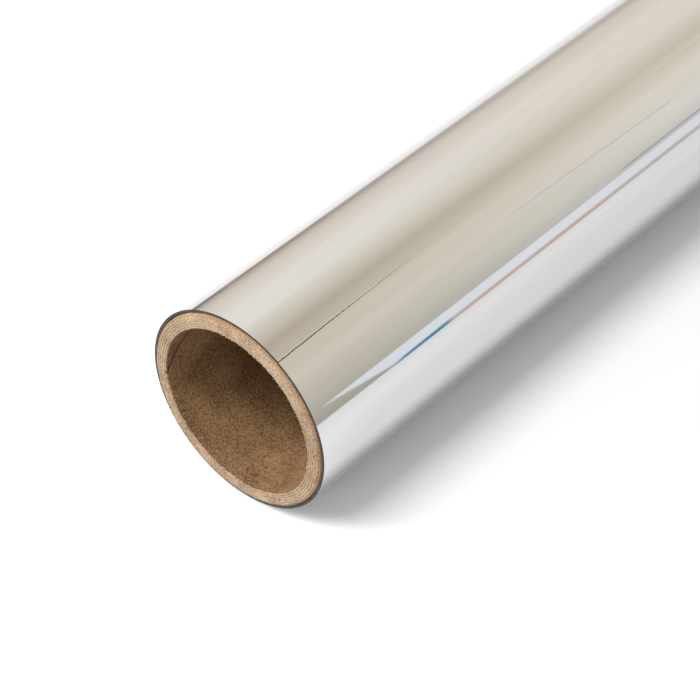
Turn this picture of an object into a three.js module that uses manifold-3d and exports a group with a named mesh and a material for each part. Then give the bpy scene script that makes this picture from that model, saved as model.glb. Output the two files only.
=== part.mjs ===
// A roll of mirror-finish foil on a spiral-wound kraft paper core.
//
// Millimetres, +Z up. The roll lies along Y on the plane Z = 0, and the origin is under its middle.
// Angles are in degrees round the roll's axis, from +X (0) over the top, +Z (90), to -X (180).
// Every layer has the same facets at the same angles, so neighbours stay parallel and keep their gaps.

import * as THREE from 'three';
import { mergeVertices } from 'three/addons/utils/BufferGeometryUtils.js';
import Module from 'manifold-3d';

// ---- driving dimensions -------------------------------------------------------------------

const CORE_BORE = 31.75; // diameter, 1 1/4 inch
const CORE_OUTSIDE = 36.83; // diameter
const CORE_PROUD = 0.6; // each core end stands this far out of the foil
const LINER_THICKNESS = 0.35; // innermost ply
const WRAP_THICKNESS = 0.3; // outermost ply
const BODY_PLIES = 4;
const GLUE_LINE = 0.02; // between plies
const BUTT_GAP = 0.25; // along Y, between one turn of a ply strip and the next
const PLY_LEAD = 68.8; // a ply strip climbs this far along Y in one turn
const LINER_SEAM = 184; // where the liner's butt seam meets the -Y end
const SEAM_STAGGER = 60; // each ply's seam is turned this far from the one below

const FOIL_WIDTH = 304.8; // 12 inch
const FOIL_THICKNESS = 0.076;
const WINDING_PITCH = 0.083; // radius gained in one turn: the foil and the air under it
const TURNS = 6;
const FREE_EDGE = 60; // where the outermost turn ends

const TAPE_THICKNESS = 0.1;
const TAPE_LENGTH = 300;
const TAPE_FACETS = 3; // about 11.5 mm round the core
const TAPE_CLEARANCE = 0.01; // on each of the tape's faces

const TAIL_LEAVES = 4; // the loose end of the foil, in strips that bend at hinges along Y
const LEAF_FACETS = 2;
const LEAF_SLIT = 0.15; // between neighbouring strips, round the roll

const FACETS = 30; // in one turn; one facet lies flat on Z = 0

// ---- worked-out dimensions ----------------------------------------------------------------

const FACET_ANGLE = 360 / FACETS;
const CORE_LENGTH = FOIL_WIDTH + 2 * CORE_PROUD;
const CORE_WALL = (CORE_OUTSIDE - CORE_BORE) / 2;
const BODY_PLY_THICKNESS =
  (CORE_WALL - LINER_THICKNESS - WRAP_THICKNESS - (BODY_PLIES + 1) * GLUE_LINE) / BODY_PLIES;
const TAPE_INNER = CORE_OUTSIDE / 2 + TAPE_CLEARANCE;
const FOIL_START = TAPE_INNER + TAPE_THICKNESS + TAPE_CLEARANCE; // inner face of the first turn
const FOIL_OUTER = FOIL_START + TURNS * WINDING_PITCH + FOIL_THICKNESS;
const LEAF_ANGLE = LEAF_FACETS * FACET_ANGLE;
const SLIT_ANGLE = THREE.MathUtils.radToDeg(LEAF_SLIT / FOIL_OUTER);

// ---- materials ----------------------------------------------------------------------------

const kraftLiner = new THREE.MeshStandardMaterial({ color: 0x9c7a55, roughness: 0.9, metalness: 0 });
const kraftBody = new THREE.MeshStandardMaterial({ color: 0xbfa384, roughness: 0.95, metalness: 0 });
const kraftWrap = new THREE.MeshStandardMaterial({ color: 0xd9b48c, roughness: 0.85, metalness: 0 });
const tissueTape = new THREE.MeshStandardMaterial({ color: 0xe8e4d8, roughness: 0.6, metalness: 0 });
const mirrorFoil = new THREE.MeshStandardMaterial({ color: 0xd8d8d4, roughness: 0.08, metalness: 1 });

// ---- building blocks ----------------------------------------------------------------------

const wasm = await Module();
wasm.setup();

const group = new THREE.Group();

function onTheRoll(radius, degrees, y) {
  const angle = THREE.MathUtils.degToRad(degrees);
  return new THREE.Vector3(radius * Math.cos(angle), y, radius * Math.sin(angle));
}

// A flat strip, cut in equal segments along its length and then bent: place(along, across, depth)
// gives each corner its point, with all three running from 0 to 1.
function bentStrip(segments, place) {
  const strip = new THREE.BoxGeometry(1, 1, 1, segments, 1, 1);
  strip.deleteAttribute('normal');
  strip.deleteAttribute('uv');
  const closed = mergeVertices(strip);
  const corners = closed.getAttribute('position');
  for (let i = 0; i < corners.count; i += 1) {
    const point = place(corners.getX(i) + 0.5, corners.getY(i) + 0.5, corners.getZ(i) + 0.5);
    corners.setXYZ(i, point.x, point.y, point.z);
  }
  return closed;
}

function toManifold(geometry) {
  return new wasm.Manifold(
    new wasm.Mesh({
      numProp: 3,
      vertProperties: geometry.getAttribute('position').array,
      triVerts: Uint32Array.from(geometry.index.array),
    }),
  );
}

function fromManifold(solid) {
  const mesh = solid.getMesh();
  const geometry = new THREE.BufferGeometry();
  geometry.setAttribute('position', new THREE.BufferAttribute(mesh.vertProperties, 3));
  geometry.setIndex(new THREE.BufferAttribute(mesh.triVerts, 1));
  return geometry;
}

function squareOff(geometry) {
  const slab = new THREE.BoxGeometry(2 * CORE_OUTSIDE, CORE_LENGTH, 2 * CORE_OUTSIDE);
  slab.deleteAttribute('normal');
  slab.deleteAttribute('uv');
  return fromManifold(toManifold(geometry).intersect(toManifold(mergeVertices(slab))));
}

function addPart(name, geometry, material) {
  geometry.computeVertexNormals();
  const part = new THREE.Mesh(geometry, material);
  part.name = name;
  group.add(part);
}

// ---- the core -----------------------------------------------------------------------------

// One paper ply: a strip wound in a helix, each turn butted against the last, then cut off square
// at both ends of the core. Towards +Y the strip turns down through the angles.
function addPly(name, inner, thickness, seamAtEnd, material) {
  const seam = (degrees) => -CORE_LENGTH / 2 + (PLY_LEAD * (seamAtEnd - degrees)) / 360;
  const sweep = 360 * (CORE_LENGTH / PLY_LEAD);
  const first = FACET_ANGLE * Math.ceil((seamAtEnd + 360) / FACET_ANGLE);
  const last = FACET_ANGLE * Math.floor((seamAtEnd - sweep) / FACET_ANGLE);
  const strip = bentStrip((first - last) / FACET_ANGLE, (along, across, depth) => {
    const degrees = first + (last - first) * along;
    const y = seam(degrees) + BUTT_GAP / 2 + across * (PLY_LEAD - BUTT_GAP);
    return onTheRoll(inner + depth * thickness, degrees, y);
  });
  addPart(name, squareOff(strip), material);
}

function addCore() {
  let inner = CORE_BORE / 2;
  let seamAtEnd = LINER_SEAM;
  const addNext = (name, thickness, material) => {
    addPly(name, inner, thickness, seamAtEnd, material);
    inner += thickness + GLUE_LINE;
    seamAtEnd += SEAM_STAGGER;
  };
  addNext('core_inner_liner', LINER_THICKNESS, kraftLiner);
  for (let ply = 1; ply <= BODY_PLIES; ply += 1) {
    addNext(`core_body_ply_${ply}`, BODY_PLY_THICKNESS, kraftBody);
  }
  addNext('core_outer_wrap', WRAP_THICKNESS, kraftWrap);
}

// ---- the starter tape, between the core and the foil's inner end ---------------------------

function addStarterTape() {
  const strip = bentStrip(TAPE_FACETS, (along, across, depth) => {
    const degrees = FREE_EDGE - along * TAPE_FACETS * FACET_ANGLE;
    return onTheRoll(TAPE_INNER + depth * TAPE_THICKNESS, degrees, (across - 0.5) * TAPE_LENGTH);
  });
  addPart('starter_tape', strip, tissueTape);
}

// ---- the foil -----------------------------------------------------------------------------

// A stretch of the wound foil. Both ends are counted in degrees back from the free edge, and the
// radius shrinks steadily on the way in. slit shortens the stretch at its inner end.
function foilStretch(from, to, slit = 0) {
  return bentStrip((to - from) / FACET_ANGLE, (along, across, depth) => {
    const onFacet = to + (from - to) * along;
    const back = Math.min(onFacet, to - slit);
    const inner = FOIL_OUTER - FOIL_THICKNESS - (WINDING_PITCH * back) / 360;
    return onTheRoll(inner + depth * FOIL_THICKNESS, FREE_EDGE + back, (across - 0.5) * FOIL_WIDTH);
  });
}

function addFoil() {
  const tailAngle = TAIL_LEAVES * LEAF_ANGLE;
  addPart('foil_roll', foilStretch(tailAngle, TURNS * 360), mirrorFoil);
  // Leaf 1 hinges on the roll, and the last leaf carries the free edge.
  for (let leaf = 1; leaf <= TAIL_LEAVES; leaf += 1) {
    const from = (TAIL_LEAVES - leaf) * LEAF_ANGLE;
    addPart(`foil_tail_${leaf}`, foilStretch(from, from + LEAF_ANGLE, SLIT_ANGLE), mirrorFoil);
  }
}

addCore();
addStarterTape();
addFoil();

// The roll is modelled round its own axis, then raised until its lowest facet lies on Z = 0.
group.position.z = -new THREE.Box3().setFromObject(group).min.z;

export default group;
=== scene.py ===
# %% [markdown]
# # A roll of mirror foil on a kraft paper core
#
# The object is a sheet of silver mirror foil wound about six times on a thick paper tube. It has very
# few shapes: everything in it is a strip bent round one axis. So its looks come from three things: clean
# smooth surfaces for the foil to reflect with, a studio worth reflecting, and paper that looks like paper
# where the tube is cut. This script loads the plain CAD frame, builds a smooth piece for each CAD node
# and hangs the core, the tape, the wound foil and the fibres on the roll's body.

# %% Load the frame
import math

import bpy
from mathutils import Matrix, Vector, noise


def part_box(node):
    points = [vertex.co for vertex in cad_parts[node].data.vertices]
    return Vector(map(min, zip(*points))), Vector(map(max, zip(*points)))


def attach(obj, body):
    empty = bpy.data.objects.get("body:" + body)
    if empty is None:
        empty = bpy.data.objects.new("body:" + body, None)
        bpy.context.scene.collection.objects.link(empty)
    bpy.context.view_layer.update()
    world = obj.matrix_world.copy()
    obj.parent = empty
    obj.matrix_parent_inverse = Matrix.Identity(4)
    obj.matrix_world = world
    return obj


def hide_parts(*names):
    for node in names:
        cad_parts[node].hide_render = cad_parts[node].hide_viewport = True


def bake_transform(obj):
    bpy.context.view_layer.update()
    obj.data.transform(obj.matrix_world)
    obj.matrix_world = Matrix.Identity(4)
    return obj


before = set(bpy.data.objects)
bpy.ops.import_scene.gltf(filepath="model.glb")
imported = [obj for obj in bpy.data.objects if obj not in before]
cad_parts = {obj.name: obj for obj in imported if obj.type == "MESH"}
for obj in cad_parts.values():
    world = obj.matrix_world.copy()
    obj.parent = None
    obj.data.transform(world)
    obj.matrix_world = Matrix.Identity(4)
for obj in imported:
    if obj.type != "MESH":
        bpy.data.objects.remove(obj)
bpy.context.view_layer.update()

# %% [markdown]
# ## Sizes
#
# The roll's axis lies along Y. Its height and both end planes are read from the CAD nodes. The radii are
# the driving sizes of the part, written in millimetres. An angle is measured round the axis, from +X over
# the top (90 degrees) to -X.

# %% Sizes
MM = 0.001
liner_low, liner_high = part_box("core_inner_liner")
AXIS_HEIGHT = (liner_low.z + liner_high.z) / 2
CORE_END = liner_high.y
FOIL_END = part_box("foil_roll")[1].y

BORE_RADIUS = 15.875 * MM
LINER_THICKNESS = 0.35 * MM
BOARD_PLIES = 4
BOARD_THICKNESS = 0.4475 * MM
WRAP_THICKNESS = 0.3 * MM
GLUE_LINE = 0.02 * MM
FOIL_OUTSIDE = 19.109 * MM
FOIL_THICKNESS = 0.076 * MM
WINDING_PITCH = 0.083 * MM
FREE_EDGE = 60.0
LEAF_ANGLE = 24.0
LEAVES = 4
TURNS = 6


def on_roll(angle, along, radius):
    """The point at this angle round the axis, in degrees, this far along it, at this radius."""
    turn = math.radians(angle)
    return Vector((radius * math.cos(turn), along, AXIS_HEIGHT + radius * math.sin(turn)))


print("axis height %.3f mm, core %.1f mm long" % (AXIS_HEIGHT / MM, 2 * CORE_END / MM))

# %% [markdown]
# ## Camera
#
# The camera looks down on the open end from the right, through a long lens, so the roll runs out of the
# top right corner. It is placed by what it aims at: a point on the axis plane a little way in from the
# foil's end. No shift and no depth of field are used, so other views only have to move it.

# %% Camera
AZIMUTH = 41.384
ELEVATION = 42.508
LENS = 125.38
CAMERA_DISTANCE = 410.5 * MM
AIM = Vector((4.07 * MM, 23.2 * MM - FOIL_END, AXIS_HEIGHT))


def make_camera():
    """The scene's camera, at its distance from the aim and turned towards it."""
    data = bpy.data.cameras.new("studio_camera")
    data.lens = LENS
    camera = bpy.data.objects.new("studio_camera", data)
    bpy.context.scene.collection.objects.link(camera)
    tilt = math.radians(ELEVATION)
    turn = math.radians(AZIMUTH)
    back = Vector((math.sin(turn) * math.cos(tilt), -math.cos(turn) * math.cos(tilt), math.sin(tilt)))
    camera.location = AIM + back * CAMERA_DISTANCE
    camera.rotation_euler = (math.pi / 2 - tilt, 0, turn)
    bpy.context.scene.camera = camera
    return camera


print("camera at", [round(c, 4) for c in make_camera().location])

# %% [markdown]
# ## Helpers for colours, nodes and meshes
#
# Colours are written as the hex codes that a colour picker shows. Blender's sockets want linear light, so
# one function turns them. One function adds any node, with its settings and its links, and one starts a
# material. The last ones put a mesh in the scene. A smooth piece keeps its edges crisp where two faces
# meet at more than the sharp corner, in degrees.

# %% Helpers
SHARP_CORNER = 32.0


def linear(code):
    """A colour written as an sRGB hex code, in linear light."""
    shares = [int(code[i:i + 2], 16) / 255 for i in (1, 3, 5)]
    return [s / 12.92 if s <= 0.04045 else ((s + 0.055) / 1.055) ** 2.4 for s in shares] + [1.0]


def fill_inputs(tree, node, inputs):
    """Fills a node's inputs, each given by its name or number. A value is a constant, a socket to link, or
    a node, whose first output is linked."""
    for key, value in inputs.items():
        if isinstance(value, bpy.types.Node):
            value = value.outputs[0]
        if isinstance(value, bpy.types.NodeSocket):
            tree.links.new(value, node.inputs[key])
        else:
            node.inputs[key].default_value = value


def add(tree, kind, inputs=None, stops=(), **settings):
    """Adds a node with its inputs and settings. Stops are a colour ramp's positions and hex colours.

    A Mix node has one set of sockets for each kind of data. Its inputs 6 and 7 and its output 2 are the
    colours, which their names alone wouldn't find."""
    node = tree.nodes.new(kind)
    for name, value in settings.items():
        setattr(node, name, value)
    fill_inputs(tree, node, inputs or {})
    if stops:
        elements = node.color_ramp.elements
        while len(elements) < len(stops):
            elements.new(1.0)
        for element, (position, code) in zip(elements, stops):
            element.position = position
            element.color = linear(code)
    return node


def new_material(name):
    """A new material, with its node tree and its Principled shader."""
    material = bpy.data.materials.new(name)
    material.use_nodes = True
    tree = material.node_tree
    return material, tree, tree.nodes["Principled BSDF"]


def place_mesh(name, mesh, smooth=True):
    """Puts a mesh in the scene as an object at the origin."""
    if smooth:
        mesh.shade_smooth()
        mesh.set_sharp_from_angle(angle=math.radians(SHARP_CORNER))
    piece = bpy.data.objects.new(name, mesh)
    bpy.context.scene.collection.objects.link(piece)
    return piece


def mesh_object(name, points, faces, materials, smooth=True):
    """An object made from points and faces, with its place in its points."""
    mesh = bpy.data.meshes.new(name)
    mesh.from_pydata(points, [], faces)
    for material in materials:
        mesh.materials.append(material)
    return place_mesh(name, mesh, smooth)


print("white in linear light:", linear("#FFFFFF"))

# %% [markdown]
# ## The floor and the light
#
# A mirror has no looks of its own: what it shows is the room. The room is therefore made with care, in
# two parts. The first part lights the paper and the floor: a pale, even sky, a large soft lamp overhead,
# which lays the roll's short shadow on the right, and a weaker lamp on the left, which shines into the
# bore. The colours are shown as they are, with the Standard view, so a white floor stays white.

# %% Floor, sky and lamps
SKY = "#FFFFFF"
SKY_STRENGTH = 0.67
FLOOR_SIZE = 40.0
FLOOR_PAINT = "#EEEEEE"
FLOOR_GAP = 0.005 * MM

bpy.context.scene.view_settings.view_transform = "Standard"


def make_sky():
    """An even pale sky, which lights the scene from all sides."""
    world = bpy.data.worlds.new("pale_sky")
    world.use_nodes = True
    sky = world.node_tree.nodes["Background"]
    fill_inputs(world.node_tree, sky, {"Color": linear(SKY), "Strength": SKY_STRENGTH})
    bpy.context.scene.world = world


def make_lamp(name, power, size, angle, ahead, reach):
    """A soft square lamp that points at the open end, placed by its angle round the roll, how far it stands
    in front of the end and how far it is from the axis. The power is in watts and the rest in metres,
    but for the angle, in degrees."""
    data = bpy.data.lights.new(name, "AREA")
    data.size = size
    data.energy = power
    lamp = bpy.data.objects.new(name, data)
    bpy.context.scene.collection.objects.link(lamp)
    aim = Vector((0, -FOIL_END, AXIS_HEIGHT))
    lamp.location = on_roll(angle, -FOIL_END - ahead, reach)
    lamp.rotation_euler = (lamp.location - aim).to_track_quat("Z", "Y").to_euler()


def make_floor():
    """A plain matt floor, a hair below the lowest point of the foil."""
    paint, tree, shader = new_material("matt_floor_paint")
    fill_inputs(tree, shader, {
        "Base Color": linear(FLOOR_PAINT), "Roughness": 0.95, "Specular IOR Level": 0.1})
    height = AXIS_HEIGHT - FOIL_OUTSIDE - FLOOR_GAP
    half = FLOOR_SIZE / 2
    corners = [(-half, -half, height), (half, -half, height), (half, half, height), (-half, half, height)]
    floor = mesh_object("floor", corners, [(0, 1, 2, 3)], [paint], smooth=False)
    return height


make_sky()
make_lamp("overhead_lamp", power=8.6, size=0.45, angle=97, ahead=0.52, reach=0.92)
make_lamp("side_lamp", power=4.4, size=0.35, angle=148, ahead=0.65, reach=0.76)
floor_height = make_floor()
print("floor at %.3f mm" % (floor_height / MM))

# %% [markdown]
# ## The light tent
#
# The second part is only for the mirror. A photographer surrounds a shiny object with a tent of cloth, and
# the mirror then shows the tent's soft bands of light. Here the tent is half a tube round the roll, and
# only reflections see it: it casts no light or shadow on the floor or the paper. Its colours go by the
# angle round the roll, from the right-hand edge of the floor, over the top, to the left-hand edge. Between
# the near and the far part of the tent the colours change a little. Its hems don't lie quite parallel to
# the roll, so a skirt closes each side, nearer at one end than at the other.

# %% Light tent
TENT_RADIUS = 0.30
TENT_HALF_LENGTH = 3.0
TENT_NEAR = 0.042
TENT_FAR = 0.205
TENT_LOW, TENT_HIGH = -30.0, 210.0
TENT_ENDS = (-TENT_HALF_LENGTH, TENT_HALF_LENGTH)
TENT_STRENGTH = 1.5
SKIRT_START, SKIRT_END = -0.05, 0.19
SKIRT_LINES = (-TENT_HALF_LENGTH, SKIRT_START, SKIRT_END, TENT_HALF_LENGTH)
RIGHT_SKIRT = (0.214, 0.153)
LEFT_SKIRT = (0.195, 0.32)
RIGHT_SKIRT_ANGLES = (-9, 6)
LEFT_SKIRT_ANGLES = (174, 189)
# Grey-beige cloth, pale overhead on the left, with a darker fold over the top and darker hems.
TENT_NEAR_COLOURS = [
    (-6, "#A09D94"), (10, "#B0AC9F"), (44, "#CBC4B7"), (64, "#C7C0B0"), (86, "#B1A695"),
    (98, "#C6C0B0"), (116, "#DFDBD3"), (134, "#E3DFD8"), (160, "#D3CBC1"), (172, "#C2B8AC"),
    (177, "#A39790"), (180, "#948A83"), (184, "#B0A7A0")]
TENT_FAR_COLOURS = [
    (-6, "#BDB8B6"), (10, "#C3C1BE"), (26, "#D7D3CA"), (60, "#D7D1C4"), (82, "#C5BEAC"),
    (106, "#D7D1C6"), (134, "#DBD4CA"), (164, "#CCC4B9"), (175, "#B0A79D"), (184, "#C8C4BD")]


def only_reflected(thing):
    """Makes a stage piece that reflections see, and that nothing else does."""
    thing.visible_camera = False
    thing.visible_diffuse = False
    thing.visible_shadow = False
    thing.visible_transmission = False
    thing.visible_volume_scatter = False


def glow(name):
    """A material that only gives off light. Returns it with its tree and its emission node."""
    material, tree, _ = new_material(name)
    material.cycles.emission_sampling = "NONE"
    tree.nodes.clear()
    light = add(tree, "ShaderNodeEmission", {"Strength": TENT_STRENGTH})
    add(tree, "ShaderNodeOutputMaterial", {"Surface": light})
    return material, tree, light


def tent_cloth():
    """Cloth lit from behind, its colour given by the angle round the roll and by the distance along it."""
    material, tree, light = glow("tent_cloth")
    place = add(tree, "ShaderNodeTexCoord").outputs["Object"]
    x, y, z = add(tree, "ShaderNodeSeparateXYZ", {"Vector": place}).outputs
    above = add(tree, "ShaderNodeMath", {0: z, 1: AXIS_HEIGHT}, operation="SUBTRACT")
    # Turned by 90 degrees, so that the jump from 180 to -180 degrees lies below the floor.
    leftward = add(tree, "ShaderNodeMath", {0: x, 1: -1.0}, operation="MULTIPLY")
    angle = add(tree, "ShaderNodeMath", {0: leftward, 1: above}, operation="ARCTAN2")
    lowest, highest = math.radians(TENT_LOW - 90), math.radians(TENT_HIGH - 90)
    share = add(tree, "ShaderNodeMapRange", {"Value": angle, "From Min": lowest, "From Max": highest})
    along = add(tree, "ShaderNodeMapRange", {"Value": y, "From Min": TENT_NEAR, "From Max": TENT_FAR})
    bands = []
    for colours in (TENT_NEAR_COLOURS, TENT_FAR_COLOURS):
        stops = [((degrees - TENT_LOW) / (TENT_HIGH - TENT_LOW), code) for degrees, code in colours]
        bands.append(add(tree, "ShaderNodeValToRGB", {"Fac": share}, stops=stops))
    mixed = add(tree, "ShaderNodeMix", {"Factor": along, 6: bands[0], 7: bands[1]}, data_type="RGBA")
    fill_inputs(tree, light, {"Color": mixed.outputs[2]})
    return material


def curved_card(name, corners, reach, material, steps=40):
    """A card bent round the roll. Its four corners, in order, are each an angle and a distance along, and
    reach gives how far from the axis the card stands there."""
    (a0, y0), (a1, y1), (a2, y2), (a3, y3) = corners
    points = []
    for i in range(steps + 1):
        share = i / steps
        for low, high, first, last in ((a0, a3, y0, y3), (a1, a2, y1, y2)):
            angle = low + (high - low) * share
            along = first + (last - first) * share
            points.append(on_roll(angle, along, reach(angle, along)))
    faces = [(2 * i, 2 * i + 1, 2 * i + 3, 2 * i + 2) for i in range(steps)]
    only_reflected(mesh_object(name, points, faces, [material], smooth=False))


def tent_reach(angle, along):
    """The half tube stands equally far off everywhere."""
    return TENT_RADIUS


def skirt_reach(angle, along):
    """The right skirt or the left one: each slopes from one distance from the axis to another."""
    near, far = RIGHT_SKIRT if angle < 90 else LEFT_SKIRT
    share = (along - SKIRT_START) / (SKIRT_END - SKIRT_START)
    return near + (far - near) * min(max(share, 0), 1)


def band(name, angles, ends, reach, steps):
    """A plain strip of cloth between two angles and two distances along."""
    corners = [(angles[0], ends[0]), (angles[0], ends[1]), (angles[1], ends[1]), (angles[1], ends[0])]
    curved_card(name, corners, reach, CLOTH, steps)


CLOTH = tent_cloth()
band("light_tent", (TENT_LOW, TENT_HIGH), TENT_ENDS, tent_reach, 120)
for number in range(len(SKIRT_LINES) - 1):
    skirt_ends = SKIRT_LINES[number:number + 2]
    band("right_skirt_%d" % number, RIGHT_SKIRT_ANGLES, skirt_ends, skirt_reach, 20)
    band("left_skirt_%d" % number, LEFT_SKIRT_ANGLES, skirt_ends, skirt_reach, 20)
print("tent radius %.0f mm" % (TENT_RADIUS / MM))

# %% [markdown]
# ## What stands behind the tent
#
# A real room is never quite even. A pale window strip stands on the right, with a thin coloured edge
# under it and a dark one above. A dark and a copper-red line lie at the foot of the left wall, and two
# faint slanting streaks cross the cloth. Each is a thin glowing card just inside the tent. For each card
# the list gives its colour, how far it hangs in front of the others, and its four corners.

# %% Cards in the tent
CARD_GAP = 2 * MM
CARDS = {
    "window": ("#D8DBE0", 0.000, [(-8, 0.000), (-8, 0.19), (7.4, 0.19), (7.4, -0.030)]),
    "window_frame": ("#94928F", 0.001, [(10.5, 0.072), (10.5, 0.128), (11.9, 0.128), (11.9, 0.072)]),
    "sill_shade": ("#BEB5B2", 0.003, [(-8, 0.006), (-8, 0.19), (-2.2, 0.19), (-2.2, 0.010)]),
    "sill_blue": ("#3C7F9F", 0.005, [(-8, -0.014), (-8, 0.008), (-2.0, 0.008), (-3.0, -0.008)]),
    "sill_orange": ("#C3A190", 0.006, [(-8, 0.010), (-8, 0.062), (-4.0, 0.062), (-3.8, 0.010)]),
    "sill_pink": ("#B9A9AC", 0.006, [(-8, 0.062), (-8, 0.19), (-4.6, 0.19), (-4.0, 0.062)]),
    "foot_dark": ("#77726F", 0.001, [(178.6, -0.045), (178.6, -0.020), (182.4, -0.022), (182.4, -0.045)]),
    "foot_copper": ("#A87A66", 0.001, [(180.4, -0.020), (179.8, 0.024), (181.8, 0.024), (182.4, -0.020)]),
    "foot_grey": ("#A5A3A1", 0.001, [(179.4, 0.040), (177.0, 0.19), (178.4, 0.19), (180.8, 0.040)]),
    "lavender_streak": ("#C2BCC6", 0.0, [(44.6, 0.035), (37.3, 0.094), (38.7, 0.095), (46.1, 0.036)]),
    "pale_streak": ("#CDC8BB", 0.0, [(31.8, 0.010), (17.9, 0.051), (19.1, 0.052), (33.1, 0.011)]),
}


def plain_glow(name, code):
    """One even glowing colour."""
    material, tree, light = glow(name)
    fill_inputs(tree, light, {"Color": linear(code)})
    return material


def in_front(lead):
    """How far a card stands from the axis when it hangs this far in front of the skirt."""
    def reach(angle, along):
        return skirt_reach(angle, along) - CARD_GAP - lead
    return reach


for card_name, (code, lead, card_corners) in CARDS.items():
    curved_card(card_name, card_corners, in_front(lead), plain_glow(card_name, code))
print(len(CARDS), "cards")

# %% [markdown]
# ## Coordinates for the paper
#
# Paper fibres don't follow X, Y and Z: in a wound tube they follow the plies. One helper gives a
# coordinate in which the radius is stretched, so that a plain noise turns into thin layers that run round
# the tube without any seam. Every paper is then one function with its own colours and sizes.

# %% Coordinates round the roll
CLOUD_SIZE = 4.5 * MM
CLOUD_SHARE = 0.22


def roll_coordinates(tree, round_scale, along_scale, radius_scale):
    """Object coordinates from the roll's axis, with the radius as a layered third direction."""
    place = add(tree, "ShaderNodeTexCoord").outputs["Object"]
    centred = add(tree, "ShaderNodeVectorMath", {0: place, 1: (0, 0, AXIS_HEIGHT)}, operation="SUBTRACT")
    x, y, z = add(tree, "ShaderNodeSeparateXYZ", {"Vector": centred}).outputs
    flat = add(tree, "ShaderNodeCombineXYZ", {"X": x, "Z": z})
    radius = add(tree, "ShaderNodeVectorMath", {0: flat}, operation="LENGTH").outputs["Value"]
    scaled = []
    for value, scale in ((x, round_scale), (z, round_scale), (radius, radius_scale), (y, along_scale)):
        scaled.append(add(tree, "ShaderNodeMath", {0: value, 1: scale}, operation="MULTIPLY"))
    across, upward, outward, lengthwise = scaled
    layers = add(tree, "ShaderNodeMath", {0: outward, 1: lengthwise}, operation="ADD")
    return add(tree, "ShaderNodeCombineXYZ", {"X": across, "Y": layers, "Z": upward})


def paper(name, dark, pale, fleck, mottling, specks, roughness, relief):
    """Kraft paper: long wood fibres pressed into a sheet. The eye sees a mottled brown with paler fibres,
    a few dark specks of bark, no gloss, and a slightly fuzzy relief.

    The colours are its darkest and palest fibres and its specks. In millimetres, mottling has the size of
    the mottling round the tube, along it and from layer to layer, specks is the size of a speck, and
    relief is how far the fibres stand out."""
    material, tree, shader = new_material(name)
    layered = roll_coordinates(tree, *[1 / (size * MM) for size in mottling])
    fibres = add(tree, "ShaderNodeTexNoise", {
        "Vector": layered, "Scale": 1.0, "Detail": 5.0, "Roughness": 0.62})
    place = add(tree, "ShaderNodeTexCoord").outputs["Object"]
    clouds = add(tree, "ShaderNodeTexNoise", {"Vector": place, "Scale": 1 / CLOUD_SIZE, "Detail": 2.0})
    both = add(tree, "ShaderNodeMix", {"Factor": CLOUD_SHARE, "A": fibres, "B": clouds}, data_type="FLOAT")
    ground = add(tree, "ShaderNodeValToRGB", {"Fac": both}, stops=[(0.37, dark), (0.63, pale)])
    bark = add(tree, "ShaderNodeTexNoise", {"Vector": place, "Scale": 1 / (specks * MM), "Detail": 1.0})
    chosen = add(tree, "ShaderNodeMapRange", {"Value": bark, "From Min": 0.69, "From Max": 0.76})
    tinted = add(tree, "ShaderNodeMix", {"Factor": chosen, 6: ground, 7: linear(fleck)}, data_type="RGBA")
    bump = add(tree, "ShaderNodeBump", {"Strength": 1.0, "Distance": relief * MM, "Height": fibres})
    fill_inputs(tree, shader, {
        "Base Color": tinted.outputs[2], "Normal": bump, "Roughness": roughness, "Specular IOR Level": 0.25})
    return material


# %% [markdown]
# ## Six papers
#
# The liner is a brown kraft sheet seen from its face, inside the bore. The board plies are seen on their
# cut edge, so their mottling is fine and lies in layers. Between the plies, and in the liner's seam, the
# board is dark: partly a stain from the glue it has drunk in, partly painted shade for the narrow seam
# gap. The outer wrap is smoother and more orange, and where it is cut its edge is worn and dirty. The
# starter tape is a white tissue.

# %% Papers
LINER_PAPER = paper("brown_kraft_liner", "#553A22", "#A07F5B", "#4A3220",
                    mottling=(0.28, 0.42, 0.3), specks=0.3, roughness=0.85, relief=0.07)
BOARD_PAPER = paper("kraft_board_cut_edge", "#6A523C", "#CAB297", "#5F452D",
                    mottling=(0.3, 0.3, 0.14), specks=0.3, roughness=0.95, relief=0.12)
# The glue-dark board: partly a real glue stain, partly painted shade for the narrow seam gap in the bore.
GLUE_AND_SEAM_SHADE_PAPER = paper("glue_stain_and_seam_shade_board", "#3B2817", "#5E452C", "#2A1C10",
                    mottling=(0.4, 0.4, 0.4), specks=0.5, roughness=0.7, relief=0.02)
WRAP_PAPER = paper("smooth_kraft_wrap", "#BE9B7E", "#DCBE9F", "#8C6444",
                   mottling=(0.5, 0.5, 0.4), specks=0.6, roughness=0.7, relief=0.015)
WORN_PAPER = paper("worn_wrap_edge", "#7C5C40", "#C09B77", "#4A3524",
                   mottling=(0.3, 0.3, 0.14), specks=0.3, roughness=0.9, relief=0.08)
TAPE_PAPER = paper("white_tissue_tape", "#D8D2C4", "#EDE9DE", "#C4BCA8",
                   mottling=(0.4, 0.4, 0.4), specks=0.5, roughness=0.8, relief=0.01)
PAPERS = (LINER_PAPER, BOARD_PAPER, GLUE_AND_SEAM_SHADE_PAPER, WRAP_PAPER, WORN_PAPER, TAPE_PAPER)
print("papers:", [material.name for material in PAPERS])

# %% [markdown]
# ## The foil's three finishes
#
# The foil is polyester film with aluminium evaporated onto it. Its face is a clean mirror: metallic, very
# smooth, with faint lengthwise streaks from the rollers. Its back is the same metal seen through a matt
# lacquer. Where the film is slit, the eye sees its edge: thin dark layers, a little glossy.

# %% Foil finishes
STREAK_WIDTH = 1.5 * MM
STREAK_LENGTH = 60 * MM
STREAK_RELIEF = 0.0012 * MM
LACQUER_GRAIN = 0.8 * MM
SLIT_PATCH = 1.6 * MM
SLIT_LAYER = 0.17 * MM
SLIT_RELIEF = 0.03 * MM
# The size of the painted glints on the slit edge.
GLINT_SIZE = 0.22 * MM


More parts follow.
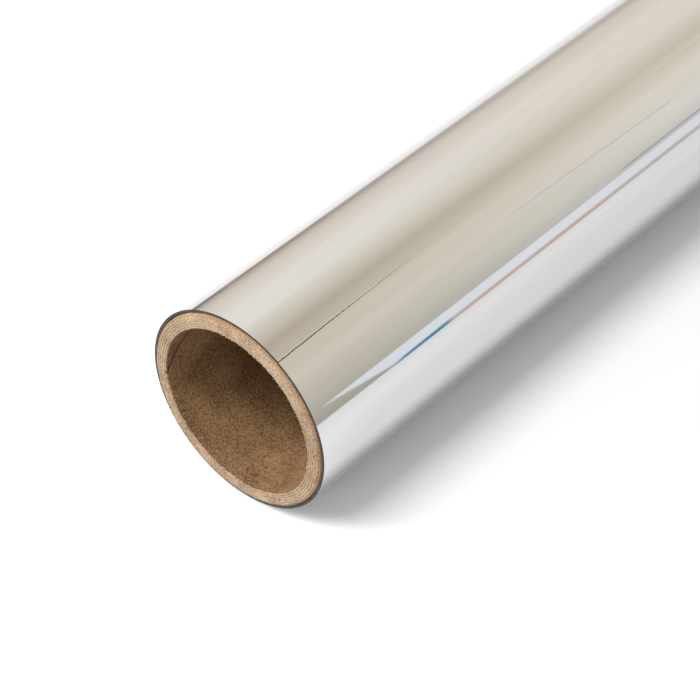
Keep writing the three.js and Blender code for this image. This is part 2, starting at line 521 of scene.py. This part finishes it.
def mirror_film():
    """Aluminium evaporated onto film: a clean mirror, with faint streaks along the roll."""
    material, tree, shader = new_material("aluminised_film_face")
    place = add(tree, "ShaderNodeTexCoord").outputs["Object"]
    streaked = add(tree, "ShaderNodeMapping", {
        "Vector": place, "Scale": (1 / STREAK_WIDTH, 1 / STREAK_LENGTH, 1 / STREAK_WIDTH)})
    streaks = add(tree, "ShaderNodeTexNoise", {"Vector": streaked, "Scale": 1.0, "Detail": 3.0})
    tint = add(tree, "ShaderNodeValToRGB", {"Fac": streaks}, stops=[(0.3, "#D1D1D1"), (0.7, "#D6D6D6")])
    bump = add(tree, "ShaderNodeBump", {"Strength": 1.0, "Distance": STREAK_RELIEF, "Height": streaks})
    fill_inputs(tree, shader, {"Base Color": tint, "Metallic": 1.0, "Roughness": 0.06, "Normal": bump})
    return material


def lacquered_back():
    """The film's back: the same metal under matt lacquer, so its reflections are blurred."""
    material, tree, shader = new_material("lacquered_film_back")
    place = add(tree, "ShaderNodeTexCoord").outputs["Object"]
    grain = add(tree, "ShaderNodeTexNoise", {"Vector": place, "Scale": 1 / LACQUER_GRAIN, "Detail": 3.0})
    tint = add(tree, "ShaderNodeValToRGB", {"Fac": grain}, stops=[(0.3, "#B9B8B5"), (0.7, "#C6C5C2")])
    rough = add(tree, "ShaderNodeMapRange", {"Value": grain, "To Min": 0.30, "To Max": 0.42})
    fill_inputs(tree, shader, {"Base Color": tint, "Metallic": 1.0, "Roughness": rough})
    return material


def slit_film_edge():
    """The slit edges of the film: dark slate layers with small pale flecks, which are painted glints of
    light.
    The true layers are 0.08 mm thick, too fine to show, so the mottling is drawn about twice as coarse."""
    material, tree, shader = new_material("slit_film_edge")
    layered = roll_coordinates(tree, 1 / SLIT_PATCH, 0.0, 1 / SLIT_LAYER)
    layers = add(tree, "ShaderNodeTexNoise", {"Vector": layered, "Scale": 1.0, "Detail": 2.0})
    place = add(tree, "ShaderNodeTexCoord").outputs["Object"]
    # Painted highlights: small pale flecks mixed into the edge's dark colour stand in for glints of light.
    glint_spots = add(tree, "ShaderNodeTexNoise", {"Vector": place, "Scale": 1 / GLINT_SIZE, "Detail": 1.0})
    painted_glints = add(tree, "ShaderNodeMapRange", {"Value": glint_spots, "From Min": 0.66, "From Max": 0.76})
    slate = add(tree, "ShaderNodeValToRGB", {"Fac": layers}, stops=[(0.35, "#17181A"), (0.65, "#2B2C30")])
    tinted = add(tree, "ShaderNodeMix", {
        "Factor": painted_glints, 6: slate, 7: linear("#7C7B82")}, data_type="RGBA")
    bump = add(tree, "ShaderNodeBump", {"Strength": 0.6, "Distance": SLIT_RELIEF, "Height": layers})
    fill_inputs(tree, shader, {
        "Base Color": tinted.outputs[2], "Roughness": 0.5, "IOR": 1.5, "Normal": bump})
    return material


MIRROR, BACK, SLIT = mirror_film(), lacquered_back(), slit_film_edge()
print("foil finishes:", [m.name for m in (MIRROR, BACK, SLIT)])

# %% [markdown]
# ## The core's plies
#
# A paper core is made of strips wound on a mandrel as helices, each ply's edges meeting in a butt seam.
# So each ply here is a true helical strip: a rounded strip section swept round the axis, and cut off
# square at both ends. Where it is cut, the strip is drawn with fine steps, because a saw leaves fibrous
# end grain and a soft rim, and handling wears the core's outer corner round. In between it needs few
# steps. A Screw modifier could sweep the section too, but it couldn't cut the ends square or roughen only
# the cut, so the points are made directly.

# %% Helical plies
PLY_LEAD = 68.8 * MM
LINER_SEAM = 184
FINE_STEP = 0.4
COARSE_STEP = 2.0
FINE_MARGIN = 3
GRAIN_SIZE = 0.28 * MM
FINE_GRAIN_SIZE = GRAIN_SIZE * 0.4
FINE_GRAIN_OFFSET = Vector((7, 3, 5))
GRAIN_DEPTH = 0.07 * MM
TIP_WIDTH = 0.12 * MM
CORE_OUTSIDE = 18.415 * MM
OUTER_WEAR = 0.95 * MM
OUTER_DROP = 0.62 * MM
INNER_WEAR = 0.14 * MM
# A bevel's share of its corner, how many corners wide a strip must be to keep them whole, and how many
# corners in from the cut the end grain reaches.
BEVEL = 0.3
WHOLE_CORNERS = 2.2
GRAIN_CORNERS = 1.01
# The finishes of a ply, in the order of its materials: its two sides, its cuts and its butting edges.
SIDE, CUT, BUTT = 0, 1, 2


def grain(point):
    """How far the end grain stands out at a point: coarse tufts with finer fibres on them."""
    tufts = noise.noise(point / GRAIN_SIZE)
    fibres = noise.noise(point / FINE_GRAIN_SIZE + FINE_GRAIN_OFFSET)
    return GRAIN_DEPTH * (tufts + 0.5 * fibres)


def crown(radius):
    """How far the cut falls back towards its outer and inner corners, where handling has worn it round."""
    outside = max(0.0, radius - (CORE_OUTSIDE - OUTER_WEAR)) / OUTER_WEAR
    inside = max(0.0, BORE_RADIUS + INNER_WEAR - radius) / INNER_WEAR
    worn = [1 - math.sqrt(1 - min(share, 1.0) ** 2) for share in (outside, inside)]
    return OUTER_DROP * worn[0] + INNER_WEAR * worn[1]


def section(low, high, inner, outer, corner, rows):
    """The strip's rounded section, as (distance along, radius) pairs in order. Where the strip runs out to
    a tip it is narrower than its two corners, and they shrink to fit."""
    soft = min(corner, (high - low) / WHOLE_CORNERS)
    bevel = corner * BEVEL
    rise = [inner + corner + (outer - inner - 2 * corner) * i / rows for i in range(rows + 1)]
    left = [(low + soft, inner), (low + soft * BEVEL, inner + bevel)] + [(low, r) for r in rise]
    left.append((low + soft * BEVEL, outer - bevel))
    right = [(high - (y - low), r) for y, r in left]
    return left + [(low + soft, outer), (high - soft, outer)] + right[::-1]


def ply_angles(seam, gap):
    """The unwrapped angles at which the strip is drawn: fine where an end is cut, coarse between."""
    widest = seam + 360 * (1 - (gap + TIP_WIDTH) / PLY_LEAD)
    narrowest = seam - 360 * (2 * CORE_END - gap - TIP_WIDTH) / PLY_LEAD
    angles = [widest]
    while angles[-1] > narrowest:
        here = angles[-1]
        at_an_end = here > seam - FINE_MARGIN or here < narrowest + (360 + FINE_MARGIN)
        angles.append(max(here - (FINE_STEP if at_an_end else COARSE_STEP), narrowest))
    return angles


def helical_ply(name, inner, thickness, seam, gap, corner, papers, rows=3):
    """One ply: a strip wound as a helix and cut square at both ends, with end grain on the cuts. Its gap is
    between one turn of the strip and the next, and its papers are for its sides, cuts and butting edges."""
    points, faces, on_cut, finish = [], [], [], []
    for angle in ply_angles(seam, gap):
        start = -CORE_END + PLY_LEAD * (seam - angle) / 360
        low = max(start + gap / 2, -CORE_END)
        high = min(start + PLY_LEAD - gap / 2, CORE_END)
        loop = section(low, high, inner, inner + thickness, corner, rows)
        for along, radius in loop:
            point = on_roll(angle, along, radius)
            near_cut = CORE_END - abs(along) < corner * GRAIN_CORNERS
            if near_cut:
                point.y += grain(point) - math.copysign(crown(radius), along)
            points.append(point)
            on_cut.append(near_cut)
    size = len(loop)
    rings = len(points) // size
    for ring in range(rings - 1):
        for i in range(size):
            j = (i + 1) % size
            a, b = ring * size, ring * size + size
            corners = (a + i, b + i, b + j, a + j)
            faces.append(corners)
            is_side = i in (size // 2 - 1, size - 1)
            is_cut = all(on_cut[corner_point] for corner_point in corners)
            finish.append(CUT if is_cut else SIDE if is_side else BUTT)
    faces.append(tuple(range(size)))
    faces.append(tuple(reversed(range(len(points) - size, len(points)))))
    piece = mesh_object(name, points, faces, papers)
    piece.data.polygons.foreach_set("material_index", finish + [BUTT, BUTT])
    return piece


# The walls of the liner's seam gap take the glue-dark board: glue stain and painted shade.
liner = helical_ply("liner_ply", BORE_RADIUS, LINER_THICKNESS, LINER_SEAM, gap=0.25 * MM,
                    corner=0.11 * MM, papers=[LINER_PAPER, BOARD_PAPER, GLUE_AND_SEAM_SHADE_PAPER])
print("liner:", len(liner.data.polygons), "faces")

# %% [markdown]
# ## Board plies and outer wrap
#
# Four plies of grey-tan board make the wall, each seam 60 degrees on from the last so that no two lie
# over each other. Their sides are dark, partly with glue and partly with painted shade, which shows where
# the liner's seam gap opens onto the first ply. The smooth wrap goes over them, and its seam is pressed
# almost shut.

# %% Board plies and wrap
SEAM_STAGGER = 60
PRESSED_GAP = 0.05 * MM

plies = {"core_inner_liner": liner}
ply_radius = BORE_RADIUS + LINER_THICKNESS + GLUE_LINE
ply_seam = LINER_SEAM + SEAM_STAGGER
# The board plies' sides take the glue-dark board, whose darkness is partly glue and partly painted shade.
for number in range(1, BOARD_PLIES + 1):
    plies["core_body_ply_%d" % number] = helical_ply(
        "board_ply_%d" % number, ply_radius, BOARD_THICKNESS, ply_seam, PRESSED_GAP,
        corner=0.08 * MM, papers=[GLUE_AND_SEAM_SHADE_PAPER, BOARD_PAPER, BOARD_PAPER], rows=4)
    ply_radius += BOARD_THICKNESS + GLUE_LINE
    ply_seam += SEAM_STAGGER
plies["core_outer_wrap"] = helical_ply(
    "wrap_ply", ply_radius, WRAP_THICKNESS, ply_seam, PRESSED_GAP,
    corner=0.05 * MM, papers=[WRAP_PAPER, WORN_PAPER, WORN_PAPER])
print("wrap outside radius %.2f mm" % ((ply_radius + WRAP_THICKNESS) / MM))

# %% [markdown]
# ## Winding with Geometry Nodes
#
# The foil is the piece whose shape is one rule: a flat strip whose radius grows with the angle. That suits
# Geometry Nodes. A long flat block is made first, its length standing for the angle. Set Position then
# rolls it up, with the winding's sizes as named inputs. The flat block's own face directions are kept
# before it is rolled, because they say which side is the face, the back and the slit edge, and so which
# material each gets. The same tree bends the starter tape, which is a strip that doesn't grow.

# %% Winding tree
WANDER_ANGLE = 260.0


def geometry_tree(name, inputs):
    """A Geometry Nodes tree with these named inputs. Returns it with their sockets inside the tree and the
    identifiers by which a modifier sets them."""
    tree = bpy.data.node_groups.new(name, "GeometryNodeTree")
    identifiers = {}
    for label, kind in inputs.items():
        socket = tree.interface.new_socket(name=label, in_out="INPUT", socket_type="NodeSocket" + kind)
        identifiers[label] = socket.identifier
    tree.interface.new_socket(name="Geometry", in_out="OUTPUT", socket_type="NodeSocketGeometry")
    return tree, add(tree, "NodeGroupInput").outputs, identifiers


def ring_point(tree, angle, along, radius, axis_height):
    """The point at this angle round the axis, in radians, as nodes."""
    cosine = add(tree, "ShaderNodeMath", {0: angle}, operation="COSINE")
    sine = add(tree, "ShaderNodeMath", {0: angle}, operation="SINE")
    right = add(tree, "ShaderNodeMath", {0: radius, 1: cosine}, operation="MULTIPLY")
    rise = add(tree, "ShaderNodeMath", {0: radius, 1: sine}, operation="MULTIPLY")
    height = add(tree, "ShaderNodeMath", {0: rise, 1: axis_height}, operation="ADD")
    return add(tree, "ShaderNodeCombineXYZ", {"X": right, "Y": along, "Z": height})


def winding_tree():
    """Rolls a flat block up into a wound strip round the roll's axis."""
    tree, given, identifiers = geometry_tree("wind_a_strip", {
        "Start Angle": "Float", "Sweep": "Float", "Start Radius": "Float", "Pitch": "Float",
        "Thickness": "Float", "Width": "Float", "End Wander": "Float", "Steps": "Int",
        "Axis Height": "Float", "Face": "Material", "Back": "Material", "Edge": "Material"})
    count = add(tree, "ShaderNodeMath", {0: given["Steps"], 1: 1.0}, operation="ADD")
    block = add(tree, "GeometryNodeMeshCube", {"Vertices X": count, "Vertices Y": 2, "Vertices Z": 2})
    kept = add(tree, "GeometryNodeCaptureAttribute", {"Geometry": block}, domain="FACE")
    kept.capture_items.new("VECTOR", "Flat Normal")
    fill_inputs(tree, kept, {"Flat Normal": add(tree, "GeometryNodeInputNormal")})
    place = add(tree, "GeometryNodeInputPosition")
    x, y, z = add(tree, "ShaderNodeSeparateXYZ", {"Vector": place}).outputs
    # The block is one unit each way and centred, so half a unit is added to count from its start. The
    # sweep is in degrees, and a whole turn is 360 of them.
    share = add(tree, "ShaderNodeMath", {0: x, 1: 0.5}, operation="ADD")
    swept = add(tree, "ShaderNodeMath", {0: share, 1: given["Sweep"]}, operation="MULTIPLY")
    turned = add(tree, "ShaderNodeMath", {0: swept, 1: given["Start Angle"]}, operation="ADD")
    angle = add(tree, "ShaderNodeMath", {0: turned}, operation="RADIANS")
    turns = add(tree, "ShaderNodeMath", {0: swept, 1: 360.0}, operation="DIVIDE")
    growth = add(tree, "ShaderNodeMath", {0: turns, 1: given["Pitch"]}, operation="MULTIPLY")
    inner = add(tree, "ShaderNodeMath", {0: given["Start Radius"], 1: growth}, operation="ADD")
    upward = add(tree, "ShaderNodeMath", {0: z, 1: 0.5}, operation="ADD")
    depth = add(tree, "ShaderNodeMath", {0: upward, 1: given["Thickness"]}, operation="MULTIPLY")
    radius = add(tree, "ShaderNodeMath", {0: inner, 1: depth}, operation="ADD")
    # Each turn ends a hair further out or in than the last, as a hand-fed winding does.
    path = add(tree, "ShaderNodeMath", {0: swept, 1: WANDER_ANGLE}, operation="DIVIDE")
    wandering = add(tree, "ShaderNodeTexNoise", {"W": path, "Scale": 1.0}, noise_dimensions="1D")
    centred = add(tree, "ShaderNodeMath", {0: wandering, 1: 0.5}, operation="SUBTRACT")
    drift = add(tree, "ShaderNodeMath", {0: centred, 1: given["End Wander"]}, operation="MULTIPLY")
    width = add(tree, "ShaderNodeMath", {0: given["Width"], 1: drift}, operation="ADD")
    along = add(tree, "ShaderNodeMath", {0: y, 1: width}, operation="MULTIPLY")
    bent = ring_point(tree, angle, along, radius, given["Axis Height"])
    rolled = add(tree, "GeometryNodeSetPosition", {"Geometry": kept.outputs["Geometry"], "Position": bent})
    whole = add(tree, "GeometryNodeRealizeInstances", {"Geometry": rolled})
    flat_z = add(tree, "ShaderNodeSeparateXYZ", {"Vector": kept.outputs["Flat Normal"]}).outputs[2]
    is_face = add(tree, "ShaderNodeMath", {0: flat_z, 1: 0.5}, operation="GREATER_THAN")
    is_back = add(tree, "ShaderNodeMath", {0: flat_z, 1: -0.5}, operation="LESS_THAN")
    edged = add(tree, "GeometryNodeSetMaterial", {"Geometry": whole, "Material": given["Edge"]})
    faced = add(tree, "GeometryNodeSetMaterial", {
        "Geometry": edged, "Selection": is_face, "Material": given["Face"]})
    backed = add(tree, "GeometryNodeSetMaterial", {
        "Geometry": faced, "Selection": is_back, "Material": given["Back"]})
    add(tree, "NodeGroupOutput", {"Geometry": backed})
    return tree, identifiers


def grown(name, tree, identifiers, values):
    """Runs a Geometry Nodes tree with these inputs and returns its result as a plain mesh object."""
    seed = bpy.data.objects.new(name + "_seed", bpy.data.meshes.new(name + "_seed"))
    bpy.context.scene.collection.objects.link(seed)
    modifier = seed.modifiers.new("tree", "NODES")
    modifier.node_group = tree
    for label, value in values.items():
        modifier[identifiers[label]] = value
    graph = bpy.context.evaluated_depsgraph_get()
    mesh = bpy.data.meshes.new_from_object(seed.evaluated_get(graph), depsgraph=graph)
    mesh.name = name
    bpy.data.objects.remove(seed)
    return place_mesh(name, mesh)


WINDING, WINDING_INPUTS = winding_tree()
print("winding tree:", len(WINDING.nodes), "nodes")

# %% [markdown]
# ## The wound foil and its starter tape
#
# The foil is wound from the inside out, clockwise as seen from the open end, so the sweep is negative: the
# radius grows as the angle falls. It stops where the loose end begins. The starter tape that holds the
# foil's inner end to the core lies under the first turn.

# %% Wound foil and starter tape
LOOSE_ANGLE = LEAVES * LEAF_ANGLE
FULL_SWEEP = TURNS * 360.0
WINDING_STEP = 0.5
TAPE_THICKNESS = 0.1 * MM
TAPE_RADIUS = 18.425 * MM
TAPE_ANGLE = 36.0


def inner_radius(back):
    """The radius of the foil's inner side, this many degrees of winding back from its free edge."""
    return FOIL_OUTSIDE - FOIL_THICKNESS - WINDING_PITCH * back / 360


wound = grown("wound_foil", WINDING, WINDING_INPUTS, {
    "Start Angle": FREE_EDGE + FULL_SWEEP, "Sweep": -(FULL_SWEEP - LOOSE_ANGLE),
    "Start Radius": inner_radius(FULL_SWEEP), "Pitch": -WINDING_PITCH, "Thickness": FOIL_THICKNESS,
    "Width": 2 * FOIL_END, "End Wander": 0.10 * MM,
    "Steps": int((FULL_SWEEP - LOOSE_ANGLE) / WINDING_STEP), "Axis Height": AXIS_HEIGHT,
    "Face": MIRROR, "Back": BACK, "Edge": SLIT})
tape_low, tape_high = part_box("starter_tape")
tape_rise = (tape_low.z + tape_high.z) / 2 - AXIS_HEIGHT
tape_turn = math.degrees(math.atan2(tape_rise, (tape_low.x + tape_high.x) / 2))
tape = grown("starter_tape_strip", WINDING, WINDING_INPUTS, {
    "Start Angle": tape_turn + TAPE_ANGLE / 2, "Sweep": -TAPE_ANGLE, "Start Radius": TAPE_RADIUS,
    "Pitch": 0.0, "Thickness": TAPE_THICKNESS, "Width": tape_high.y - tape_low.y, "End Wander": 0.0,
    "Steps": 36, "Axis Height": AXIS_HEIGHT,
    "Face": TAPE_PAPER, "Back": TAPE_PAPER, "Edge": TAPE_PAPER})
print("tape middle at %.1f degrees" % tape_turn)
print("wound foil:", len(wound.data.polygons), "faces")

# %% [markdown]
# ## The loose end
#
# The last 96 degrees of foil are four leaves, one for each hinge, that share their edges exactly. The last
# leaf ends in the free edge, cut at a slight slant. A blade has dragged it: near the open end it is ragged
# and lifts a little, and it has a drawn-down lip. The lip's face side takes the dull, dark slit finish:
# partly its torn raw edge, partly painted shade for the dark line along the free edge. Further in it lies
# tight.

# %% Loose end
# The slant, the margin, the depths of tears and nicks and the lip's width are in degrees round the roll.
LEAF_STEP = 1.0
RAGGED_LENGTH = 33 * MM
RAGGED_STEP = 0.25 * MM
PLAIN_STEP = 4.0 * MM
SLANT = 2.8
SLANT_LENGTH = 36 * MM
EDGE_MARGIN = 0.04
TEAR_DEPTH = 0.16
TEAR_LENGTH = 0.9 * MM
NICK_DEPTH = 0.12
NICK_LENGTH = 0.35 * MM
TIGHT_SHARE = 0.15
LIP_WIDTH = 0.58
LIP_PATCH = 0.7 * MM
LIP_DROP = 0.055 * MM
LIFT = 0.05 * MM
LIFT_ANGLE = 5.0
LIFT_FADE = 1.4
# The lip has one more point between its root and the cut: its place across the lip, and its share of the
# drop.
LIP_BEND = 0.25
BEND_DROP = 0.45
# The finishes of a leaf, in the order of its materials. The slit finish also covers the free edge's lip,
# partly as its raw edge and partly as painted shade.
FACE_SIDE, BACK_SIDE, EDGE_AND_LIP_SHADE = 0, 1, 2


def fade(distance):
    """One at the open end, falling smoothly to nothing where the free edge lies tight."""
    share = min(max(distance / RAGGED_LENGTH, 0.0), 1.0)
    return 1 - share * share * (3 - 2 * share)


def rows_along():
    """Distances along the roll at which the last leaf is drawn: close together where it is ragged."""
    rows = [-FOIL_END]
    while rows[-1] < FOIL_END:
        near = rows[-1] < RAGGED_LENGTH - FOIL_END
        rows.append(min(rows[-1] + (RAGGED_STEP if near else PLAIN_STEP), FOIL_END))
    return rows


def free_edge_at(along):
    """How far back from its nominal line the foil is cut, in degrees: a slant, and fine raggedness."""
    distance = along + FOIL_END
    slant = SLANT * math.tanh(distance / SLANT_LENGTH)
    tear = TEAR_DEPTH * noise.noise(Vector((0.3, distance / TEAR_LENGTH, 4.0)))
    nick = NICK_DEPTH * noise.noise(Vector((2.3, distance / NICK_LENGTH, 1.0)))
    return EDGE_MARGIN + slant + (tear + nick) * (TIGHT_SHARE + (1 - TIGHT_SHARE) * fade(distance))


def lip_width_at(along):
    """The width of the drawn-down lip, in degrees."""
    distance = along + FOIL_END
    ragged = 0.8 + 0.5 * noise.noise(Vector((9.1, distance / LIP_PATCH, 0.0)))
    return EDGE_MARGIN + LIP_WIDTH * ragged * fade(distance) ** 0.8


def lift_at(along, degrees_in):
    """How far the foil stands up near its free edge, this many degrees in from the cut."""
    raised = max(0.0, 1 - degrees_in / LIFT_ANGLE)
    return LIFT * raised * raised * fade((along + FOIL_END) * LIFT_FADE)


def leaf_points(rows, far, steps, last):
    """The points of a leaf, row by row: each row has its face side from far to near, then its back side.
    The last leaf has two more points in each row, for the lip, whose face side is drawn down."""
    points = []
    for along in rows:
        cut = free_edge_at(along) if last else far - LEAF_ANGLE
        lip = lip_width_at(along) if last else 0.0
        backs = [far + (cut + lip - far) * i / steps for i in range(steps + 1)]
        drops = [0.0] * len(backs)
        if last:
            backs += [cut + lip * LIP_BEND, cut]
            drops += [LIP_DROP * BEND_DROP, LIP_DROP]
        for side in (1, 0):
            for back, drop in zip(backs, drops):
                lift = lift_at(along, back - cut) if last else 0.0
                radius = inner_radius(back) + side * FOIL_THICKNESS + lift - drop * side
                points.append(on_roll(FREE_EDGE + back, along, radius))
    return points


def leaf(number):
    """One leaf of the loose end. Leaf 1 is nearest the wound foil and the last one has the free edge."""
    last = number == LEAVES
    steps = int(LEAF_ANGLE / LEAF_STEP)
    columns = steps + (3 if last else 1)
    rows = rows_along() if last else [-FOIL_END, FOIL_END]
    points = leaf_points(rows, LOOSE_ANGLE - (number - 1) * LEAF_ANGLE, steps, last)
    faces, finish = [], []

    def put(corners, material):
        faces.append(corners)
        finish.append(material)

    stride = 2 * columns
    for row in range(len(rows) - 1):
        a, b = row * stride, (row + 1) * stride
        ragged = last and rows[row] < RAGGED_LENGTH - FOIL_END
        for i in range(columns - 1):
            # The lip's face side takes the dark slit finish: partly its torn raw edge, partly painted shade.
            shaded_lip = ragged and i >= columns - 3
            put((a + i, a + i + 1, b + i + 1, b + i), EDGE_AND_LIP_SHADE if shaded_lip else FACE_SIDE)
            put((a + columns + i + 1, a + columns + i, b + columns + i, b + columns + i + 1), BACK_SIDE)
        put((a + columns, a, b, b + columns), EDGE_AND_LIP_SHADE)
        put((a + columns - 1, a + stride - 1, b + stride - 1, b + columns - 1),
            EDGE_AND_LIP_SHADE if ragged else FACE_SIDE)
    top = (len(rows) - 1) * stride
    for i in range(columns - 1):
        put((i + 1, i, columns + i, columns + i + 1), EDGE_AND_LIP_SHADE)
        put((top + i, top + i + 1, top + columns + i + 1, top + columns + i), EDGE_AND_LIP_SHADE)
    piece = mesh_object("loose_end_%d" % number, points, faces, [MIRROR, BACK, SLIT])
    piece.data.polygons.foreach_set("material_index", finish)
    return piece


leaves = [leaf(number) for number in range(1, LEAVES + 1)]
print("leaves:", [len(piece.data.polygons) for piece in leaves])

# %% [markdown]
# ## Loose fibres on the cut
#
# A sawn paper edge is never clean. Short fibres stand out of it, most of all round the bore, and they give
# the rim its pale, soft line. Each fibre is a thin bent thread of a few faces. Geometry Nodes scatter
# them round the rim with a fixed seed, and turn and scale each at random. Real fibres are 0.03 mm thick,
# too fine to show, so they are drawn a little thicker.

# %% Fibres
THREAD = {"Start": (-0.5, 0.04, 0), "Middle": (0.1, -0.34, 0.12), "End": (0.5, 0.03, -0.05)}
THREAD_TILT = 0.35
SHORTEST = 0.45
THREAD_THICKNESS = 0.045
RIM_OUTSIDE = BORE_RADIUS + 0.22 * MM
FACE_INSIDE = BORE_RADIUS + 0.2 * MM
FACE_OUTSIDE = BORE_RADIUS + 2.1 * MM
FIRST_SEED = 11


def fibre_tree():
    """Scatters short bent threads over a ring in the plane of the cut."""
    tree, given, identifiers = geometry_tree("scatter_fibres", {
        "Count": "Int", "Inner Radius": "Float", "Outer Radius": "Float", "Along": "Float",
        "Facing": "Float", "Length": "Float", "Thickness": "Float", "Axis Height": "Float",
        "Seed": "Int", "Fibre": "Material"})

    def chance(low, high, offset):
        seed = add(tree, "ShaderNodeMath", {0: given["Seed"], 1: float(offset)}, operation="ADD")
        drawn = add(tree, "FunctionNodeRandomValue", {2: low, 3: high, "Seed": seed}, data_type="FLOAT")
        return drawn.outputs[1]

    angle = chance(0.0, 2 * math.pi, 1)
    radius = chance(given["Inner Radius"], given["Outer Radius"], 2)
    place = ring_point(tree, angle, given["Along"], radius, given["Axis Height"])
    dots = add(tree, "GeometryNodePoints", {"Count": given["Count"], "Position": place})
    thread = add(tree, "GeometryNodeCurveQuadraticBezier", {"Resolution": 4, **THREAD})
    profile = add(tree, "GeometryNodeCurvePrimitiveCircle", {"Resolution": 3, "Radius": given["Thickness"]})
    tube = add(tree, "GeometryNodeCurveToMesh", {
        "Curve": thread, "Profile Curve": profile, "Fill Caps": True})
    facing = add(tree, "ShaderNodeMath", {0: given["Facing"]}, operation="RADIANS")
    tilt = chance(-THREAD_TILT, THREAD_TILT, 3)
    turned = add(tree, "ShaderNodeCombineXYZ", {"X": tilt, "Y": chance(0.0, 2 * math.pi, 4), "Z": facing})
    size = chance(SHORTEST, 1.0, 5)
    length = add(tree, "ShaderNodeMath", {0: size, 1: given["Length"]}, operation="MULTIPLY")
    scale = add(tree, "ShaderNodeCombineXYZ", {"X": length, "Y": length, "Z": length})
    placed = add(tree, "GeometryNodeInstanceOnPoints", {
        "Points": dots, "Instance": tube, "Rotation": turned, "Scale": scale})
    whole = add(tree, "GeometryNodeRealizeInstances", {"Geometry": placed})
    painted = add(tree, "GeometryNodeSetMaterial", {"Geometry": whole, "Material": given["Fibre"]})
    add(tree, "NodeGroupOutput", {"Geometry": painted})
    return tree, identifiers


FIBRES, FIBRE_INPUTS = fibre_tree()
FIBRE_PAPER = paper("pale_wood_fibres", "#B99A74", "#E6CDA9", "#A08058",
                    mottling=(0.4, 0.4, 0.4), specks=0.6, roughness=0.9, relief=0.01)
tufts = []
for end_name, end in (("front", -1), ("back", 1)):
    for patch, count, low, high, size in (("rim", 240, BORE_RADIUS, RIM_OUTSIDE, 0.55 * MM),
                                          ("face", 520, FACE_INSIDE, FACE_OUTSIDE, 0.5 * MM)):
        tufts.append(grown("fibres_%s_%s" % (end_name, patch), FIBRES, FIBRE_INPUTS, {
            "Count": count, "Inner Radius": low, "Outer Radius": high, "Along": end * CORE_END,
            "Facing": 0.0 if end < 0 else 180.0, "Length": size, "Thickness": THREAD_THICKNESS,
            "Axis Height": AXIS_HEIGHT, "Seed": FIRST_SEED + len(tufts), "Fibre": FIBRE_PAPER}))
print("fibres:", sum(len(piece.data.polygons) for piece in tufts), "faces")

# %% [markdown]
# ## The roll's pieces on their body
#
# The core, the tape, the wound foil and the fibres are one body, the roll. The leaves of the loose end
# are on no body: their places are baked into their points.

# %% Ride and hide the CAD nodes
for node, piece in plies.items():
    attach(piece, "roll")
    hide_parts(node)
for piece, node, slot in ((tape, "starter_tape", "tissue_tape"), (wound, "foil_roll", "mirror_foil")):
    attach(piece, "roll")
    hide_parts(node)
for piece in tufts:
    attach(piece, "roll")
for number, piece in enumerate(leaves, start=1):
    far = LOOSE_ANGLE - (number - 1) * LEAF_ANGLE
    end = on_roll(FREE_EDGE + far - LEAF_ANGLE, 0, inner_radius(far - LEAF_ANGLE))
    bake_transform(piece)
    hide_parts("foil_tail_%d" % number)
